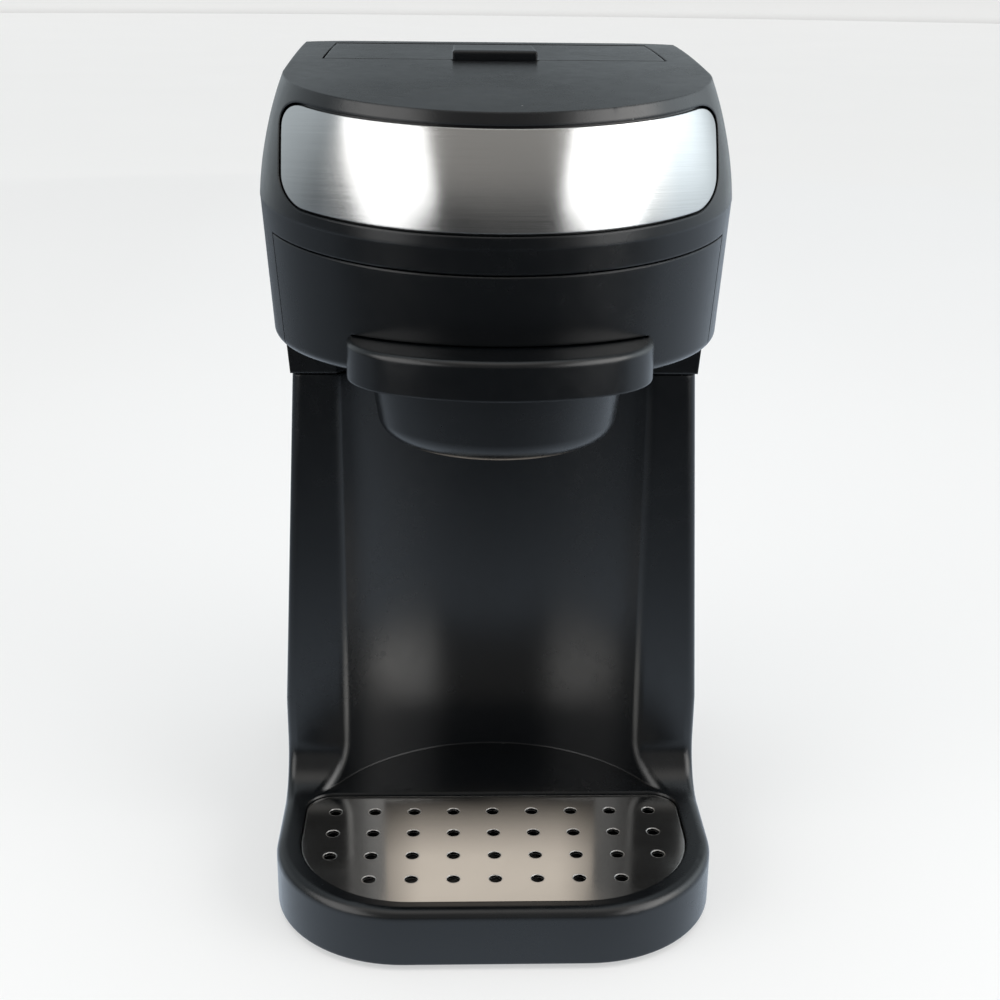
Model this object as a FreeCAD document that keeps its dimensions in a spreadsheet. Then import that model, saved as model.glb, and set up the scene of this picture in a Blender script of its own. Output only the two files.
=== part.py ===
import FreeCAD, Part
import math
import os
import Sketcher

# A single-cup drip coffee maker: a base with a perforated drip plate, a column with a hollow for
# the mug, and a round-fronted head that holds the water tank, the spray head and the slide-out
# filter basket. Origin: on the floor at the middle of the footprint. +X right, -Y front, +Z up.

doc = FreeCAD.newDocument("CoffeeMaker")
sheet = doc.addObject("Spreadsheet::Sheet", "Sizes")

SIZES = [
    # overall
    ("overall_depth", 168.5), ("rear_height", 239.0), ("wall", 2.4), ("seam_gap", 0.5),
    ("slide_gap", 0.4), ("foot_height", 2.0), ("rear_corner", 16.0),
    ("head_rear_corner", 22.0),
    # base and column
    ("base_setback", 1.0), ("base_half_front", 64.2), ("base_half_rear", 64.2), ("base_corner", 38.5),
    ("deck_height", 19.0), ("base_edge", 3.0), ("column_half_top", 58.6), ("column_knee", 27.0),
    ("column_height", 151.2),
    ("pillar_setback", 72.5), ("mug_radius", 58.2), ("mug_setback", 36.5), ("cove_radius", 13.0),
    ("pillar_round", 4.0),
    # drip plate and its well
    ("plate_half", 56.9), ("plate_setback", 5.5), ("plate_length", 57.0), ("plate_corner", 33.0),
    ("plate_rear_corner", 8.0), ("plate_thick", 1.0), ("plate_sink", 1.0), ("hole_radius", 1.9),
    ("hole_pitch", 12.0), ("first_hole_row", 12.0), ("well_rim", 3.0), ("well_depth", 9.0),
    # covers and their screw posts
    ("rear_window_half", 44.0), ("rear_window_top", 136.0), ("post_radius", 4.6), ("post_inset", 4.2),
    ("cover_gap", 0.3),
    # head
    ("head_radius", 65.4), ("head_setback", 77.25), ("crease_height", 204.4), ("rake_angle", 5.14),
    ("head_bottom", 164.0), ("head_bottom_radius", 62.6), ("head_edge", 3.0),
    ("shoulder_radius", 57.6), ("shoulder_rise", 32.0), ("shoulder_bulge", 105.0),
    ("top_arc_radius", 1340.0), ("seam_drop", 6.5), ("side_seam_setback", 52.5),
    ("neck_half_bottom", 59.0), ("neck_half_top", 60.2),
    # stainless band
    ("band_low", 3.8), ("band_high", 27.6), ("band_sweep", 80.0), ("band_half", 56.3),
    ("band_rear", 12.0), ("band_thick", 0.8), ("band_gap", 0.7), ("band_corner", 6.5),
    # water lid
    ("lid_half", 49.0), ("lid_front", 17.6), ("lid_rear", 69.0), ("lid_gap", 0.8), ("lid_thick", 2.2),
    ("lid_barrel", 2.0), ("lid_pin_radius", 1.2), ("lid_pin_back", 2.2), ("tab_half", 12.2),
    ("tab_reach", 3.0), ("tab_depth", 4.0), ("tab_lift", 0.9), ("running_gap", 0.05), ("knuckle_gap", 0.4),
    # filter basket
    ("lip_half", 39.2), ("lip_height", 10.0), ("lip_wall", 2.4), ("lip_bow_radius", 58.0),
    ("lip_bow_half", 28.0), ("lip_end_reach", 30.0), ("bowl_setback", 50.5),
    ("bowl_top_radius", 35.5), ("bowl_low_radius", 32.0), ("bowl_bottom", 142.0), ("bowl_round", 6.0),
    ("basket_flange", 37.4), ("basket_outlet", 3.0), ("bowl_flare", 1.2), ("bowl_way_gap", 0.5),
    # filter, spray head, brew deck
    ("filter_top_radius", 31.5), ("filter_low_radius", 25.0), ("filter_wall", 0.8),
    ("brew_deck_height", 178.2), ("spray_radius", 27.0),
    # water side
    ("tank_half", 45.0), ("tank_front", 17.0), ("tank_rear", 78.0), ("tank_bottom", 138.0),
    ("tank_top", 226.0), ("tank_wall", 2.0), ("hose_radius", 4.5), ("hose_bore", 3.0),
    ("riser_radius", 3.5), ("riser_bore", 2.2), ("riser_x", 50.5), ("riser_y", 30.0),
    ("boiler_half", 38.0), ("boiler_y", 50.0), ("boiler_z", 34.0),
    # fasteners, switch, inlet
    ("screw_radius", 1.6), ("screw_head", 3.0), ("switch_y", 48.0), ("switch_z", 62.0),
    ("switch_half_long", 10.5), ("switch_half_wide", 6.5), ("gland_radius", 5.5), ("gland_z", 22.0),
]
for number, (alias, amount) in enumerate(SIZES, start=1):
    sheet.set("A%d" % number, alias)
    sheet.set("B%d" % number, str(amount))
    sheet.setAlias("B%d" % number, alias)
doc.recompute()


class Size:
    """A length with both its present value and the spreadsheet formula that gives it."""

    def __init__(self, value, formula):
        self.value = value
        self.formula = formula

    def join(self, other, sign, value):
        return Size(value, "(%s %s %s)" % (self.formula, sign, as_size(other).formula))

    def __add__(self, other):
        return self.join(other, "+", self.value + as_size(other).value)

    def __radd__(self, other):
        return as_size(other) + self

    def __sub__(self, other):
        return self.join(other, "-", self.value - as_size(other).value)

    def __rsub__(self, other):
        return as_size(other) - self

    def __mul__(self, other):
        return self.join(other, "*", self.value * as_size(other).value)

    def __rmul__(self, other):
        return as_size(other) * self

    def __truediv__(self, other):
        return self.join(other, "/", self.value / as_size(other).value)

    def root(self):
        return Size(math.sqrt(self.value), "sqrt(%s)" % self.formula)

    def __neg__(self):
        return Size(-self.value, "(0 - %s)" % self.formula)


def as_size(number):
    return number if isinstance(number, Size) else Size(float(number), repr(float(number)))


def size(alias):
    return Size(float(sheet.get(alias)), "Sizes." + alias)


def bind(thing, prop, amount):
    amount = as_size(amount)
    thing.setExpression(prop, amount.formula)


def put(thing, x, y, z, rotation=None):
    """Places a feature, with each coordinate bound to the sheet."""
    base = [as_size(c) for c in (x, y, z)]
    turn = rotation or FreeCAD.Rotation()
    thing.Placement = FreeCAD.Placement(FreeCAD.Vector(*[c.value for c in base]), turn)
    for axis, amount in zip("xyz", base):
        bind(thing, "Placement.Base." + axis, amount)
    return thing


AXIS_TURNS = {
    "Z": FreeCAD.Rotation(),
    "X": FreeCAD.Rotation(FreeCAD.Vector(0, 1, 0), 90),
    "Y": FreeCAD.Rotation(FreeCAD.Vector(1, 0, 0), -90),
}


def block(name, x, y, z):
    """A box between the low and high value on each axis."""
    thing = doc.addObject("Part::Box", name)
    for prop, (low, high) in zip(("Length", "Width", "Height"), (x, y, z)):
        bind(thing, prop, as_size(high) - low)
    return put(thing, x[0], y[0], z[0])


def rod(name, centre, span, radius, axis="Z"):
    """A cylinder along an axis. centre holds the two other coordinates, in x, y, z order."""
    thing = doc.addObject("Part::Cylinder", name)
    bind(thing, "Radius", radius)
    bind(thing, "Height", as_size(span[1]) - span[0])
    spot = list(centre)
    spot.insert("XYZ".index(axis), span[0])
    return put(thing, *spot, rotation=AXIS_TURNS[axis])


def taper(name, centre, span, low_radius, high_radius):
    """A cone frustum standing along Z."""
    thing = doc.addObject("Part::Cone", name)
    bind(thing, "Radius1", low_radius)
    bind(thing, "Radius2", high_radius)
    bind(thing, "Height", as_size(span[1]) - span[0])
    return put(thing, centre[0], centre[1], span[0])


def cut(name, base, *tools):
    tool = tools[0] if len(tools) == 1 else fuse(name + "_tools", *tools)
    thing = doc.addObject("Part::Cut", name)
    thing.Base = base
    thing.Tool = tool
    return thing


def fuse(name, *shapes):
    thing = doc.addObject("Part::MultiFuse", name)
    thing.Shapes = list(shapes)
    thing.Refine = True
    return thing


def common(name, *shapes):
    thing = doc.addObject("Part::MultiCommon", name)
    thing.Shapes = list(shapes)
    return thing


def arc(x, y, radius, turn):
    """A corner point reached along an arc; turn is 1 for an anticlockwise arc and -1 for clockwise."""
    return (x, y, radius, turn)


def arc_geometry(start, end, radius, turn):
    chord = end - start
    middle = (start + end) * 0.5
    across = FreeCAD.Vector(-chord.y, chord.x, 0).normalize()
    height = math.sqrt(max(radius ** 2 - (chord.Length / 2) ** 2, 0.0))
    centre = middle + across * height * turn
    first, last = (start, end) if turn > 0 else (end, start)
    angles = [math.atan2(p.y - centre.y, p.x - centre.x) for p in (first, last)]
    circle = Part.Circle(centre, FreeCAD.Vector(0, 0, 1), radius)
    return Part.ArcOfCircle(circle, angles[0], angles[1])


def outline(body, plane, level, corners, name):
    """A closed sketch through the corners, every one located from the sheet."""
    sketch = body.newObject("Sketcher::SketchObject", name)
    origin_planes = [f for f in body.Origin.OriginFeatures if f.Role == plane + "_Plane"]
    sketch.AttachmentSupport = [(origin_planes[0], "")]
    sketch.MapMode = "FlatFace"
    # the XZ plane's own normal points along -Y
    level = -as_size(level) if plane == "XZ" else as_size(level)
    bind(sketch, "AttachmentOffset.Base.z", level)
    spots = [[as_size(n) for n in corner[:2]] for corner in corners]
    points = [FreeCAD.Vector(x.value, y.value, 0) for x, y in spots]
    ends = []
    for i, corner in enumerate(corners):
        start, end = points[i - 1], points[i]
        if len(corner) == 4:
            radius, turn = as_size(corner[2]), corner[3]
            edge = sketch.addGeometry(arc_geometry(start, end, radius.value, turn), False)
            sign = sketch.addConstraint(Sketcher.Constraint("Radius", edge, radius.value))
            sketch.setExpression("Constraints[%d]" % sign, radius.formula)
            ends.append((edge, 1, 2) if turn > 0 else (edge, 2, 1))
        else:
            edge = sketch.addGeometry(Part.LineSegment(start, end), False)
            ends.append((edge, 1, 2))
    for i, (x, y) in enumerate(spots):
        arriving, leaving = ends[i], ends[(i + 1) % len(ends)]
        sketch.addConstraint(
            Sketcher.Constraint("Coincident", arriving[0], arriving[2], leaving[0], leaving[1]))
        for kind, amount in (("DistanceX", x), ("DistanceY", y)):
            sign = sketch.addConstraint(
                Sketcher.Constraint(kind, -1, 1, arriving[0], arriving[2], amount.value))
            sketch.setExpression("Constraints[%d]" % sign, amount.formula)
    return sketch


PAD_SIGN = {"XY": 1, "YZ": 1, "XZ": -1}


def prism(name, plane, span, corners):
    """A body padded from a closed outline, from the low to the high value along the plane's normal."""
    body = doc.addObject("PartDesign::Body", name)
    start = span[0] if PAD_SIGN[plane] > 0 else span[1]
    sketch = outline(body, plane, start, corners, name + "_outline")
    pad = body.newObject("PartDesign::Pad", name + "_pad")
    pad.Profile = sketch
    bind(pad, "Length", as_size(span[1]) - span[0])
    return body


def mirrored(corners):
    """The full outline of a shape given by its right half, from low on the axis to high on it."""
    left = []
    for i in range(len(corners) - 1, -1, -1):
        corner = corners[i]
        if as_size(corner[0]).value == 0:
            continue
        after = corners[i + 1] if i + 1 < len(corners) else corner
        flipped = (-as_size(corner[0]), corner[1])
        left.append(flipped + tuple(after[2:]) if len(after) == 4 else flipped)
    right = [c for c in corners if as_size(c[0]).value != 0]
    return right + left


def d_form(name, half_profile, length):
    """A half-round front and straight sides: one profile revolved about Z and run back along +Y."""
    body = doc.addObject("PartDesign::Body", name)
    sides = outline(body, "XZ", length, mirrored(half_profile), name + "_sides")
    pad = body.newObject("PartDesign::Pad", name + "_pad")
    pad.Profile = sides
    bind(pad, "Length", length)
    front = outline(body, "XZ", 0, half_profile, name + "_front")
    turn = body.newObject("PartDesign::Revolution", name + "_turn")
    turn.Profile = front
    turn.ReferenceAxis = (front, ["V_Axis"])
    turn.Angle = 180
    turn.Reversed = True
    return body


def rounded(name, base, radius, picks):
    """Fillets the edges that picks(edge) accepts. radius is bound to the sheet."""
    doc.recompute()
    radius = as_size(radius)
    thing = doc.addObject("Part::Fillet", name)
    thing.Base = base
    chosen = [i for i, edge in enumerate(base.Shape.Edges, start=1) if picks(edge)]
    if not chosen:
        raise ValueError("no edges to round on " + name)
    thing.Edges = [(i, radius.value, radius.value) for i in chosen]
    return thing


def piece(node, thing):
    """Marks a finished feature as the sub-part of that name."""
    thing.Label = node
    pieces.append(thing)
    return thing


pieces = []

# ---- places worked out from the sizes ----

wall = size("wall")
gap = size("seam_gap")
slide_gap = size("slide_gap")
front_y = -size("overall_depth") / 2
rear_y = size("overall_depth") / 2
base_front = front_y + size("base_setback")
deck = size("deck_height")
floor = size("foot_height")
seam_z = size("column_height")
pillar_y = base_front + size("pillar_setback")
mug_y = base_front + size("mug_setback")
head_y = front_y + size("head_setback")
head_radius = size("head_radius")
crease_z = size("crease_height")
side_seam_y = front_y + size("side_seam_setback")
bowl_y = front_y + size("bowl_setback")
lip_top = size("head_bottom") + size("lip_height")
rake = FreeCAD.Rotation(FreeCAD.Vector(1, 0, 0), size("rake_angle").value)
WIDE = 90.0


def near(value, target, reach=0.05):
    return abs(value - as_size(target).value) < reach


def rear_corners(inset=0.0):
    """Picks the upright edges at the rear, at a given distance in from the rear face."""
    def picks(edge):
        ends = [v.Point for v in edge.Vertexes]
        if len(ends) < 2:
            return False
        upright = abs(ends[0].z - ends[1].z) > 1
        return upright and all(near(p.y, rear_y - inset) for p in ends)
    return picks


# ---- base shell: deck, drip well, pillars and the hollow for the mug ----

def base_footprint(inset, rear_inset=0.0):
    half_front = size("base_half_front") - inset
    half_rear = size("base_half_rear") - inset
    corner = size("base_corner") - inset
    front = base_front + inset
    shoulder = front + corner
    return [
        arc(half_front, shoulder, corner, 1), (half_rear, rear_y - rear_inset),
        (-half_rear, rear_y - rear_inset),
        (-half_front, shoulder), arc(-half_front + corner, front, corner, 1),
        (half_front - corner, front),
    ]


def pillar_outline(inset, low, high):
    """Front view of the column: upright with the base, then leaning in towards the head."""
    half = size("base_half_rear") - inset
    knee = deck + size("column_knee")
    lean = (size("base_half_rear") - size("column_half_top")) / (seam_z - knee)
    half_high = half - lean * (high - knee)
    return [(-half, low), (half, low), (half, knee), (half_high, high), (-half_high, high), (-half, knee)]


def pillar_side(inset, low, high):
    """Side view of the column: an upright front that sweeps out to the deck in a cove."""
    face = pillar_y + inset
    cove = size("cove_radius") + inset
    cove_z = deck + size("cove_radius")
    return [
        (face - cove, low), (rear_y, low), (rear_y, high), (face, high), (face, cove_z),
        arc(face - cove, cove_z - cove, cove, -1),
    ]


def plate_outline(grow):
    half = size("plate_half") + grow
    front = base_front + size("plate_setback") - grow
    rear = base_front + size("plate_setback") + size("plate_length") + grow
    corner = size("plate_corner") + grow
    back = size("plate_rear_corner") + grow
    return [
        arc(half, front + corner, corner, 1), (half, rear - back), arc(half - back, rear, back, 1),
        (-half + back, rear), arc(-half, rear - back, back, 1), (-half, front + corner),
        arc(-half + corner, front, corner, 1), (half - corner, front),
    ]


def make_base_shell():
    slab = prism("base_slab", "XY", (floor, deck), base_footprint(0.0))
    slab_corners = rounded("base_slab_corners", slab, size("rear_corner"), rear_corners())
    low = deck - 3.0
    front_form = prism("column_front_form", "XZ", (pillar_y - 60, rear_y),
                       pillar_outline(0.0, low, seam_z))
    side_form = prism("column_side_form", "YZ", (-WIDE, WIDE), pillar_side(0.0, low, seam_z))
    column = rounded("column_block", common("column_square", front_form, side_form),
                     size("rear_corner"), rear_corners())
    mug_space = rod("mug_space", (0, mug_y), (deck, seam_z + 5), size("mug_radius"))
    column_open = cut("column_open", column, mug_space)

    def inner_front(edge):
        """The pillars' corners towards the mug."""
        box = edge.BoundBox
        inside = max(abs(box.XMin), abs(box.XMax)) < size("mug_radius").value - 0.2
        on_front = box.YMax < pillar_y.value + 0.1 and box.YMin > mug_y.value
        return inside and on_front and box.ZLength > 30

    column_soft = rounded("column_soft", column_open, size("pillar_round"), inner_front)
    massing = fuse("base_massing", slab_corners, column_soft)

    half_widths = ("column_half_top", "base_half_front", "base_half_rear")
    narrowest = min(size(alias).value for alias in half_widths)

    def outer_edge(edge):
        """The deck's rim, the coves' outer ends and the pillars' outer front corners."""
        box = edge.BoundBox
        ahead = box.YMax < pillar_y.value + 0.1
        wide = min(abs(box.XMin), abs(box.XMax)) > narrowest - 1
        rim = near(box.ZMin, deck) and near(box.ZMax, deck) and (wide or box.YMax < mug_y.value)
        upright = wide and box.ZMin > deck.value - 0.1 and box.ZLength > 3
        return ahead and (rim or upright)

    outside = rounded("base_outside", massing, size("base_edge"), outer_edge)

    plate_z = deck - size("plate_thick") - size("plate_sink")
    plate_space = prism("plate_space", "XY", (plate_z, seam_z - 40), plate_outline(slide_gap))
    well_floor = deck - size("well_depth") - 2.0
    well = prism("well", "XY", (well_floor, plate_z + 1), plate_outline(-size("well_rim")))
    well_keep = prism("well_keep", "XY", (well_floor - wall, deck), plate_outline(wall + slide_gap))

    base_square = prism("base_inside_square", "XY", (floor - 1, deck - wall), base_footprint(wall, wall))
    inner_corner = size("rear_corner") - wall
    base_inside = rounded("base_inside", base_square, inner_corner, rear_corners(wall))
    cavity_front = prism("cavity_front", "XZ", (pillar_y - 60, rear_y - wall),
                         pillar_outline(wall, deck - wall - 1, seam_z + 5))
    cavity_side = prism("cavity_side", "YZ", (-WIDE, WIDE), [
        (pillar_y + wall, deck - wall - 1), (rear_y - wall, deck - wall - 1),
        (rear_y - wall, seam_z + 5), (pillar_y + wall, seam_z + 5),
    ])
    cavity = rounded("cavity", common("cavity_block", cavity_front, cavity_side),
                     inner_corner, rear_corners(wall))
    mug_keep = rod("mug_keep", (0, mug_y), (deck - wall, seam_z + 10), size("mug_radius") + wall)
    column_inside = cut("column_inside", cavity, mug_keep)
    base_hollow = cut("base_hollow", base_inside, well_keep)
    rear_window = block("rear_window", (-size("rear_window_half"), size("rear_window_half")),
                        (rear_y - wall - 1, rear_y + 5), (floor - 1, size("rear_window_top")))
    switch_y, switch_z = size("switch_y"), size("switch_z")
    half_wide, half_long = size("switch_half_wide"), size("switch_half_long")
    switch_hole = block("switch_hole", (40, WIDE), (switch_y - half_wide, switch_y + half_wide),
                        (switch_z - half_long, switch_z + half_long))
    posts = [rod("base_post_%d" % i, (x, y), (floor + wall + 0.2, deck - wall + 1), size("post_radius"))
             for i, (x, y) in enumerate(base_screw_spots())]
    shell = cut("base_shell_open", outside, plate_space, well, column_inside, base_hollow,
                rear_window, switch_hole)
    holes = [rod("base_post_hole_%d" % i, (x, y), (floor, deck - wall - 4), size("screw_radius"))
             for i, (x, y) in enumerate(base_screw_spots())]
    return piece("base_shell", cut("base_shell_form", fuse("base_shell_posts", shell, *posts), *holes))


def base_screw_spots():
    side = size("base_half_rear") - wall - size("post_inset")
    rear = rear_y - 15.0
    return [(-side, rear), (side, rear), (-side, pillar_y + 14.0), (side, pillar_y + 14.0)]


def make_base_plate():
    """The bottom cover: a flat plate let into the open underside."""
    inset = wall + size("cover_gap")
    plate = prism("bottom_sheet", "XY", (floor, floor + wall), base_footprint(inset, inset))
    plate_round = rounded("bottom_plate_round", plate, size("rear_corner") - inset, rear_corners(inset))
    vents = []
    for i in range(7):
        x = (i - 3) * 9.0
        vents.append(block("bottom_vent_%d" % i, (x - 1.5, x + 1.5), (20.0, 46.0), (floor - 1, floor + 5)))
    holes = [rod("bottom_hole_%d" % i, spot, (floor - 1, floor + 5), size("screw_radius") + 0.2)
             for i, spot in enumerate(base_screw_spots())]
    return piece("bottom_plate", cut("bottom_plate_form", plate_round, *(vents + holes)))


def make_feet_and_screws():
    spots = [(-46.0, front_y + 26.0), (46.0, front_y + 26.0), (-50.0, rear_y - 34.0), (50.0, rear_y - 34.0)]
    feet = [taper("foot_%d" % i, spot, (0.0, floor), 6.0, 7.0) for i, spot in enumerate(spots)]
    piece("rubber_feet", fuse("rubber_feet_form", *feet))
    screws = []
    for i, spot in enumerate(base_screw_spots()):
        head = rod("base_screw_head_%d" % i, spot, (floor - 1.6, floor), size("screw_head"))
        shank = rod("base_screw_shank_%d" % i, spot, (floor - 0.8, deck - wall - 5),
                    size("screw_radius") - size("running_gap"))
        slot = block("base_screw_slot_%d" % i, (spot[0] - 2.2, spot[0] + 2.2),
                     (spot[1] - 0.4, spot[1] + 0.4), (floor - 2, floor - 1.0))
        screws.append(cut("base_screw_%d" % i, fuse("base_screw_body_%d" % i, head, shank), slot))
    piece("base_screws", fuse("base_screws_form", *screws))


def make_rear_cover():
    """Flat access panel in the column's back, flush with the shell around it."""
    half = size("rear_window_half") - size("cover_gap")
    panel = block("rear_panel", (-half, half), (rear_y - wall, rear_y),
                  (floor + wall + size("cover_gap"), size("rear_window_top") - size("cover_gap")))
    inlet = rod("inlet_hole", (0, size("gland_z")), (rear_y - 10, rear_y + 5),
                size("gland_radius") - 1.5, "Y")
    vents = [block("rear_vent_%d" % i, (-22, 22), (rear_y - 10, rear_y + 5), (50 + 7.0 * i, 52.5 + 7.0 * i))
             for i in range(6)]
    screw_holes = [rod("rear_hole_%d" % i, spot, (rear_y - 10, rear_y + 5), size("screw_radius") + 0.2, "Y")
                   for i, spot in enumerate(rear_screw_spots())]
    seats = [rod("rear_seat_%d" % i, spot, (rear_y - 1.3, rear_y + 5), size("screw_head") + 0.2, "Y")
             for i, spot in enumerate(rear_screw_spots())]
    piece("rear_cover", cut("rear_cover_form", panel, inlet, *(vents + screw_holes + seats)))
    screws = []
    for i, spot in enumerate(rear_screw_spots()):
        head = rod("rear_screw_head_%d" % i, spot, (rear_y - 1.3, rear_y - 0.3), size("screw_head"), "Y")
        shank = rod("rear_screw_shank_%d" % i, spot, (rear_y - 10, rear_y - 0.5),
                    size("screw_radius") - size("running_gap"), "Y")
        screws.append(fuse("rear_screw_%d" % i, head, shank))
    piece("rear_screws", fuse("rear_screws_form", *screws))


def rear_screw_spots():
    x = size("rear_window_half") - 6.0
    return [(-x, size("rear_window_top") - 8.0), (x, size("rear_window_top") - 8.0), (-x, 12.0), (x, 12.0)]


def make_gland():
    """Strain gland that holds the lead's inlet in the rear cover."""
    z = size("gland_z")
    neck = rod("gland_neck", (0, z), (rear_y - wall - 3.0, rear_y), size("gland_radius") - 1.6, "Y")
    collar = rod("gland_collar", (0, z), (rear_y - wall - 3.0, rear_y - wall - 0.1),
                 size("gland_radius"), "Y")
    bore = rod("gland_bore", (0, z), (rear_y - 20, rear_y + 5), 2.6, "Y")
    piece("cord_gland", cut("cord_gland_form", fuse("gland_body", neck, collar), bore))


def make_drip_plate():
    low = deck - size("plate_thick") - size("plate_sink")
    plate = prism("drip_sheet", "XY", (low, low + size("plate_thick")), plate_outline(0.0))
    pitch = size("hole_pitch")
    first = base_front + size("plate_setback") + size("first_hole_row")
    holes = []
    for row, across in enumerate((7, 9, 9, 9)):
        for column in range(across):
            x = (column - (across - 1) / 2) * pitch
            holes.append(rod("drip_hole_%d_%d" % (row, column), (x, first + row * pitch),
                             (low - 1, low + 5), size("hole_radius")))
    piece("drip_plate", cut("drip_plate_form", plate, *holes))


# ---- head: skin, front cover, stainless band ----

def top_outline(inset, low):
    """Side view of everything under the gently arched top."""
    radius = size("top_arc_radius") - inset
    crown = size("rear_height") - inset
    reach = rear_y + 120.0
    drop = radius - (radius * radius - reach * reach).root()
    return [
        (rear_y - reach, low), (rear_y, low), (rear_y, crown),
        arc(rear_y - reach, crown - drop, radius, 1),
    ]


def tilt(thing, x=0.0, y=0.0, z=0.0):
    """Sets a form's origin at a point of the head's raked frame, which starts on the crease."""
    turn = size("rake_angle")
    cosine = Size(math.cos(math.radians(turn.value)), "cos(%s * 1deg)" % turn.formula)
    sine = Size(math.sin(math.radians(turn.value)), "sin(%s * 1deg)" % turn.formula)
    y, z = as_size(y), as_size(z)
    return put(thing, x, head_y + y * cosine - z * sine, crease_z + y * sine + z * cosine, rotation=rake)


def raked_block(name, x, y, z):
    """A box in the head's raked frame."""
    return tilt(block(name, x, y, z), x[0], y[0], z[0])


def shoulder_circle():
    """Centre, in the raked frame, of the arc that the head's shoulder follows."""
    low, high = head_radius, size("shoulder_radius")
    rise, radius = size("shoulder_rise"), size("shoulder_bulge")
    chord = (rise * rise + (low - high) * (low - high)).root()
    reach = (radius * radius - chord * chord / 4).root()
    return (low + high) / 2 - rise * reach / chord, rise / 2 - (low - high) * reach / chord


def shoulder_at(height, inset):
    """Radius of the shoulder at a height above the crease, less an inset."""
    across, up = shoulder_circle()
    radius = size("shoulder_bulge") - inset
    lift = as_size(height) - up
    return across + (radius * radius - lift * lift).root()


def head_form(name, inset):
    """The whole head as one solid, pulled in by an inset."""
    low = size("head_bottom") - (3.0 if inset else 0.0)
    length = rear_y - head_y - inset
    flare_z = crease_z - 1.4
    foot_radius = size("head_bottom_radius") - inset
    wide_radius = head_radius - 0.1 - inset
    lower = d_form(name + "_lower", [
        (0.0, low), (foot_radius, low), (wide_radius, flare_z), (wide_radius, crease_z + 16),
        (0.0, crease_z + 16),
    ], length)
    put(lower, 0, head_y, 0)
    if not inset:
        lower = rounded(name + "_edge", lower, size("head_edge"),
                        lambda e: near(e.BoundBox.ZMax, low) and e.BoundBox.YMin < rear_y.value - 1)
    below = raked_block(name + "_below", (-WIDE, WIDE), (-WIDE, WIDE + 20), (-90.0, 0.0))
    low_part = common(name + "_low_part", lower, below)
    top = size("shoulder_rise") + 14.0
    rise = size("shoulder_rise")
    upper = d_form(name + "_upper", [
        (0.0, 0.0), (head_radius - inset, 0.0),
        arc(shoulder_at(rise, inset), rise, size("shoulder_bulge") - inset, 1),
        (size("shoulder_radius") - inset - 6.0, top), (0.0, top),
    ], length + 14.0)
    tilt(upper)
    both = fuse(name + "_both", low_part, upper)
    under_top = prism(name + "_under_top", "YZ", (-WIDE, WIDE), top_outline(inset, 120.0))
    half = head_radius - inset
    corner = size("head_rear_corner") - inset
    rear = rear_y - inset
    trim = prism(name + "_trim", "XY", (120.0, 260.0), [
        (half, front_y), (half, rear - corner), arc(half - corner, rear, corner, 1),
        (-half + corner, rear), arc(-half, rear - corner, corner, 1), (-half, front_y),
    ])
    return common(name, both, under_top, trim)


def cover_zone(name, shrink):
    """Where the front cover sits: below the raked seam and in front of the side seams."""
    band = raked_block(name + "_below", (-WIDE, WIDE), (-WIDE, WIDE), (-60.0, -size("seam_drop") - shrink))
    ahead = block(name + "_ahead", (-WIDE, WIDE), (-WIDE, side_seam_y - shrink), (100.0, 230.0))
    return common(name, band, ahead)


def shoulder_strip(name, low, high, sweep, inner, outer):
    """A strip of the shoulder, revolved about the head's raked axis and centred on the front."""
    body = doc.addObject("PartDesign::Body", name + "_strip")
    bulge = size("shoulder_bulge")
    profile = outline(body, "XZ", 0.0, [
        (shoulder_at(low, outer), low), arc(shoulder_at(high, outer), high, bulge - outer, 1),
        (shoulder_at(high, inner), high), arc(shoulder_at(low, inner), low, bulge - inner, -1),
    ], name + "_profile")
    turn = body.newObject("PartDesign::Revolution", name + "_turn")
    turn.Profile = profile
    turn.ReferenceAxis = (profile, ["V_Axis"])
    bind(turn, "Angle", as_size(sweep) * 2)
    turn.Reversed = True
    tilt(body)
    # the strip starts at +X; turn it so that it is centred on the front
    body.Placement = FreeCAD.Placement(
        body.Placement.Base,
        rake.multiply(FreeCAD.Rotation(FreeCAD.Vector(0, 0, 1), as_size(sweep).value - 90)))
    return body


def rounded_strip(name, grow):
    """The block that sets the band's outline seen from the front, grown by a gap."""
    half = size("band_half") + grow
    low, high = size("band_low") - grow, size("band_high") + grow
    blank = raked_block(name + "_blank", (-half, half), (-WIDE, -size("band_rear")), (low, high))
    window = rounded(name + "_window", blank, size("band_corner") + grow,
                     lambda e: e.BoundBox.YLength > 40 and len(e.Vertexes) == 2)
    strip = shoulder_strip(name, low - 1.0, high + 1.0, size("band_sweep"), 1.4, -2.0)
    return common(name + "_round", strip, window)


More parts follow.
